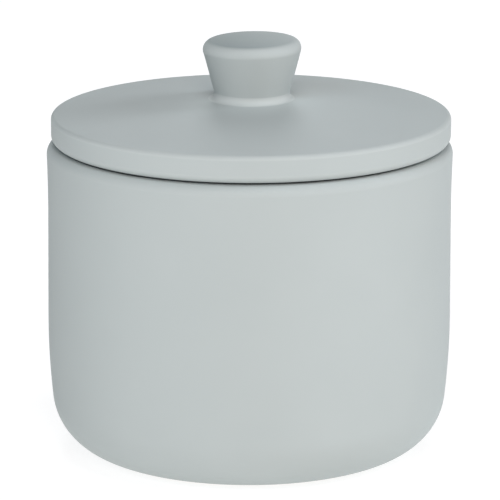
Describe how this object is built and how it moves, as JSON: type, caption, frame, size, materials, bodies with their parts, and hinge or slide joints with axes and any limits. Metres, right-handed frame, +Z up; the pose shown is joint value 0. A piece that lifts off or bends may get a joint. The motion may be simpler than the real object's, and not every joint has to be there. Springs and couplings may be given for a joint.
{
  "type": "lidded ceramic canister",
  "caption": "Round matt-glazed ceramic canister with a softly rounded heel, a flat-edged lid that lifts off by its flared knob, a soft seal under the lid and non-slip foot pads.",
  "frame": {"origin": "middle of the surface that the jar stands on, on its axis of turning", "axes": "+Z up along the axis of turning; the four foot pads lie on the diagonals between X and Y"},
  "size_m": [0.1054, 0.1054, 0.1097],
  "materials": {
    "matt_glaze": "matt",
    "seal_rubber": "matt",
    "pad_rubber": "matt"
  },
  "bodies": {
    "jar": {"jar_body": "matt_glaze", "foot_pad_1": "pad_rubber", "foot_pad_2": "pad_rubber", "foot_pad_3": "pad_rubber", "foot_pad_4": "pad_rubber"},
    "lid": {"lid": "matt_glaze", "seal_ring": "seal_rubber"}
  },
  "joints": [
    {"name": "lid_lift", "type": "slide", "parent": "jar", "child": "lid", "axis": [0, 0, 1], "range_m": [0, 0.1]}
  ]
}
